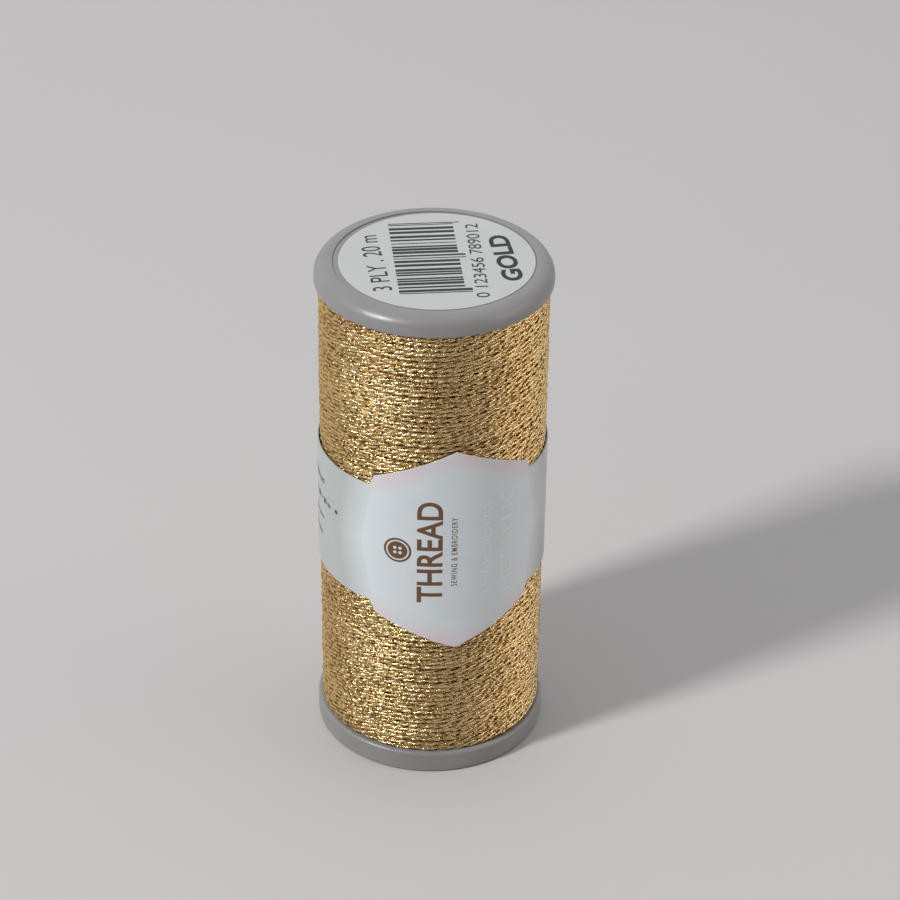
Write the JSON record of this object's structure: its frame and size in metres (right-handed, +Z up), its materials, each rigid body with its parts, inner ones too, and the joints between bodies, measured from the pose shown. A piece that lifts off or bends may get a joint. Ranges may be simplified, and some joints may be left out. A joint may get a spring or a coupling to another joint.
{
  "type": "spool of thread",
  "caption": "Thread spool: hollow moulded barrel with end flanges and a snap-open base, fully wound, with a paper belly band and a round end label.",
  "frame": {"origin": "centre of the base's underside, on the surface that the spool stands on", "axes": "+Z up the spool towards the round label; -Y is the front, where the middle of the band's badge faces; +X is to its right"},
  "size_m": [0.024, 0.024, 0.0549],
  "materials": {
    "moulded_plastic": "satin moulded, light grey",
    "metallic_thread": "three-ply metallised-film thread, gold",
    "band_paper": "coated paper, cool white with brown print",
    "label_paper": "coated paper, cool white with black print"
  },
  "bodies": {
    "spool": {"spool_barrel": "moulded_plastic", "thread_winding": "metallic_thread", "belly_band": "band_paper", "top_label": "label_paper"},
    "base": {"snap_base": "moulded_plastic"}
  },
  "joints": [
    {"name": "base_snap", "type": "slide", "parent": "spool", "child": "base", "axis": [0, 0, -1], "range_m": [0, 0.0015]}
  ]
}
